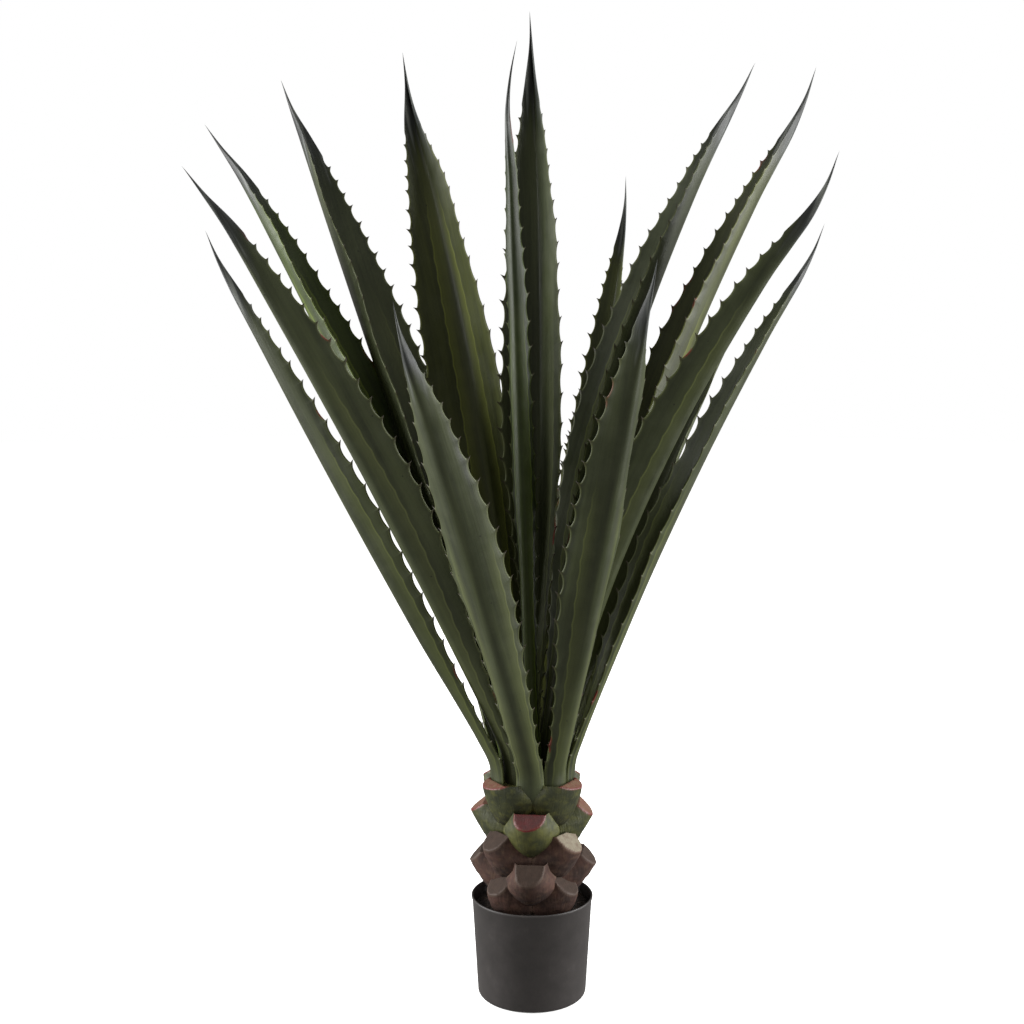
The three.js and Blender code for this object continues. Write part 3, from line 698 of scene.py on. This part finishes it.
def peat():
    """Potting mix: dark crumbly peat with a few paler bits of bark, matt all over."""
    material, tree, shader = new_material("peat_mix", Roughness=0.95, IOR=1.4)
    spot = add(tree, "ShaderNodeTexCoord").outputs["Object"]
    # Crumbs are about 3 mm across, and clumps about 8 mm.
    crumbs = add(tree, "ShaderNodeTexVoronoi", {"Vector": spot, "Scale": 300.0}).outputs["Distance"]
    clumps = add(tree, "ShaderNodeTexNoise", {"Vector": spot, "Scale": 120.0, "Detail": 6.0}).outputs[0]
    colour = add(tree, "ShaderNodeValToRGB", {0: clumps},
                 stops=[(0.35, "#0f0c0a"), (0.6, "#2b221c"), (0.78, "#56473a")]).outputs[0]
    tree.links.new(colour, shader.inputs["Base Color"])
    bump = add(tree, "ShaderNodeBump", {"Height": crumbs, "Strength": 1.0, "Distance": 0.002}).outputs[0]
    tree.links.new(bump, shader.inputs["Normal"])
    return material


mix = refined(NODES["potting_mix"], FINE)
mix.normal_update()
for vert in mix.verts:
    if vert.normal.z > 0.5:
        vert.co.z += CRUMB_RELIEF * noise.fractal(vert.co * 160, 1.0, 2.0, 3)
piece("peat_fill", mix, peat(), "potting_mix", "potting_mix")


def pot_plastic():
    """Injection-moulded black polypropylene: matt, faintly pebbled, with light scuffs on its side."""
    material, tree, shader = new_material("moulded_polypropylene", Roughness=0.5, IOR=1.49)
    spot = add(tree, "ShaderNodeTexCoord").outputs["Object"]
    # Scuffs and rubbed places are about 30 mm across.
    scuffs = add(tree, "ShaderNodeTexNoise",
                 {"Vector": spot, "Scale": 35.0, "Detail": 8.0, "Roughness": 0.7}).outputs[0]
    colour = add(tree, "ShaderNodeValToRGB", {0: scuffs},
                 stops=[(0.3, "#2b2827"), (0.6, "#353130"), (0.8, "#413d3b")]).outputs[0]
    tree.links.new(colour, shader.inputs["Base Color"])
    dull = add(tree, "ShaderNodeMapRange",
               {"Value": scuffs, "From Min": 0.3, "From Max": 0.7, "To Min": 0.45, "To Max": 0.6}).outputs[0]
    tree.links.new(dull, shader.inputs["Roughness"])
    # The mould's pebble is about 0.8 mm across.
    pebble = add(tree, "ShaderNodeTexNoise", {"Vector": spot, "Scale": 1200.0, "Detail": 2.0}).outputs[0]
    bump = add(tree, "ShaderNodeBump", {"Height": pebble, "Strength": 0.25, "Distance": 0.0003}).outputs[0]
    tree.links.new(bump, shader.inputs["Normal"])
    return material


POT_TAPER = 8.5 * MM        # how much narrower the foot is than the rim, on each side
POT_WALL, POT_FLOOR = 2 * MM, 3 * MM
FOOT_ROUND = 7 * MM
POT_STEPS = 128


def make_pot():
    """The pot, spun from its wall's outline, with its rim rolled over and a ring to stand on."""
    low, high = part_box("pot")
    rim, top = (high[0] - low[0]) / 2, high[2]
    foot = rim - POT_TAPER
    # Each point is a radius and a height: the underside and its ring, then the rounded foot.
    outline = [(0, 0.6 * MM), (foot - 12 * MM, 0.6 * MM), (foot - 10 * MM, 0), (foot - FOOT_ROUND, 0)]
    outline += [(foot - FOOT_ROUND + FOOT_ROUND * math.sin(a), FOOT_ROUND - FOOT_ROUND * math.cos(a))
                for a in np.linspace(0.15, math.pi / 2 - 0.06, 8)]
    # Over the rim.
    outline += [(rim - 1.2 * MM, top - 5 * MM), (rim - 0.3 * MM, top - 3.6 * MM), (rim, top - 2.4 * MM),
                (rim, top - 0.8 * MM), (rim - 0.5 * MM, top - 0.1 * MM), (rim - 1.2 * MM, top),
                (rim - POT_WALL, top - 0.3 * MM), (rim - POT_WALL - 0.3 * MM, top - 1.2 * MM)]
    # Down the inside to the floor.
    outline += [(foot - POT_WALL, 9 * MM), (foot - 6 * MM, POT_FLOOR + 0.5 * MM),
                (foot - 9 * MM, POT_FLOOR), (0, POT_FLOOR)]
    bm = bmesh.new()
    verts = [bm.verts.new((radius, 0, height + low[2])) for radius, height in outline]
    edges = [bm.edges.new(pair) for pair in zip(verts, verts[1:])]
    bmesh.ops.spin(bm, geom=verts + edges, cent=(0, 0, 0), axis=(0, 0, 1), angle=math.tau,
                   steps=POT_STEPS, use_merge=True)
    bmesh.ops.remove_doubles(bm, verts=bm.verts, dist=1e-6)
    bmesh.ops.recalc_face_normals(bm, faces=bm.faces)
    return piece("nursery_pot", bm, pot_plastic(), "pot", "pot")


make_pot()

# ---------------------------------------------------------------- floor, lights and camera
FLOOR_RADIUS, FLOOR_GAP = 9.0, 0.2 * MM
floor_bm = bmesh.new()
bmesh.ops.create_circle(floor_bm, cap_ends=True, segments=96, radius=FLOOR_RADIUS)
floor_mesh = bpy.data.meshes.new("floor")
for vert in floor_bm.verts:
    vert.co.z = cad_low[2] - FLOOR_GAP
floor_bm.to_mesh(floor_mesh)
floor_bm.free()
floor = bpy.data.objects.new("floor", floor_mesh)
scene.collection.objects.link(floor)
# Studio paper: matt and very pale, so that it meets the white room without a line.
paper, _, paper_shader = new_material("studio_paper", Roughness=0.9, Emission_Strength=0.74)
paper_shader.inputs["Base Color"].default_value = linear("#f7f7f6")
paper_shader.inputs["Emission Color"].default_value = linear("#ffffff")
floor_mesh.materials.append(paper)
# The paper is bright for the lens, and does not light the plant from below.
floor.visible_diffuse = False
floor.visible_glossy = False

# A white room seen by the lens, which lights the plant much less than the softboxes do.
world = bpy.data.worlds.new("studio")
scene.world = world
world.use_nodes = True
sky = world.node_tree
seen = add(sky, "ShaderNodeBackground", {"Color": "#ffffff", "Strength": 1.0}).outputs[0]
lit = add(sky, "ShaderNodeBackground", {"Color": "#fffdf8", "Strength": 0.35}).outputs[0]
by_lens = add(sky, "ShaderNodeLightPath").outputs["Is Camera Ray"]
room = add(sky, "ShaderNodeMixShader", {0: by_lens, 1: lit, 2: seen}).outputs[0]
add(sky, "ShaderNodeOutputWorld", {0: room})
for name in ("Background", "World Output"):     # the two nodes that a new world comes with
    sky.nodes.remove(sky.nodes[name])


def softbox(name, place, aim, size, watts):
    """A big rectangular area light that points at a place on the plant."""
    data = bpy.data.lights.new(name, "AREA")
    data.shape = "RECTANGLE"
    data.size, data.size_y = size
    data.energy = watts
    lamp = bpy.data.objects.new(name, data)
    lamp.location = place
    lamp.rotation_euler = (Vector(aim) - Vector(place)).to_track_quat("-Z", "Y").to_euler()
    scene.collection.objects.link(lamp)


# The side boxes make the pale edges of the blades and the pot, and the one overhead fills in.
for name, side in (("left_softbox", -1), ("right_softbox", 1)):
    softbox(name, place=(side * 2.4, -0.15, 1.1), aim=(0, 0, 0.6), size=(1.8, 2.2), watts=118)
softbox("overhead", place=(0, 0.2, 3.0), aim=(0, 0, 0.5), size=(2.5, 2.5), watts=16)

# The camera stands 2 m in front, above the plant's middle, and looks down a little.
LOOKS_DOWN, LOOKS_LEFT = 7.49, 0.76     # degrees
lens = bpy.data.cameras.new("camera")
lens.lens = 55.4
lens.sensor_width = 36
camera = bpy.data.objects.new("camera", lens)
camera.location = (0, -2.0, 0.907)
camera.rotation_euler = (math.radians(90 - LOOKS_DOWN), 0, math.radians(LOOKS_LEFT))
scene.collection.objects.link(camera)
scene.camera = camera
scene.view_settings.view_transform = "Standard"
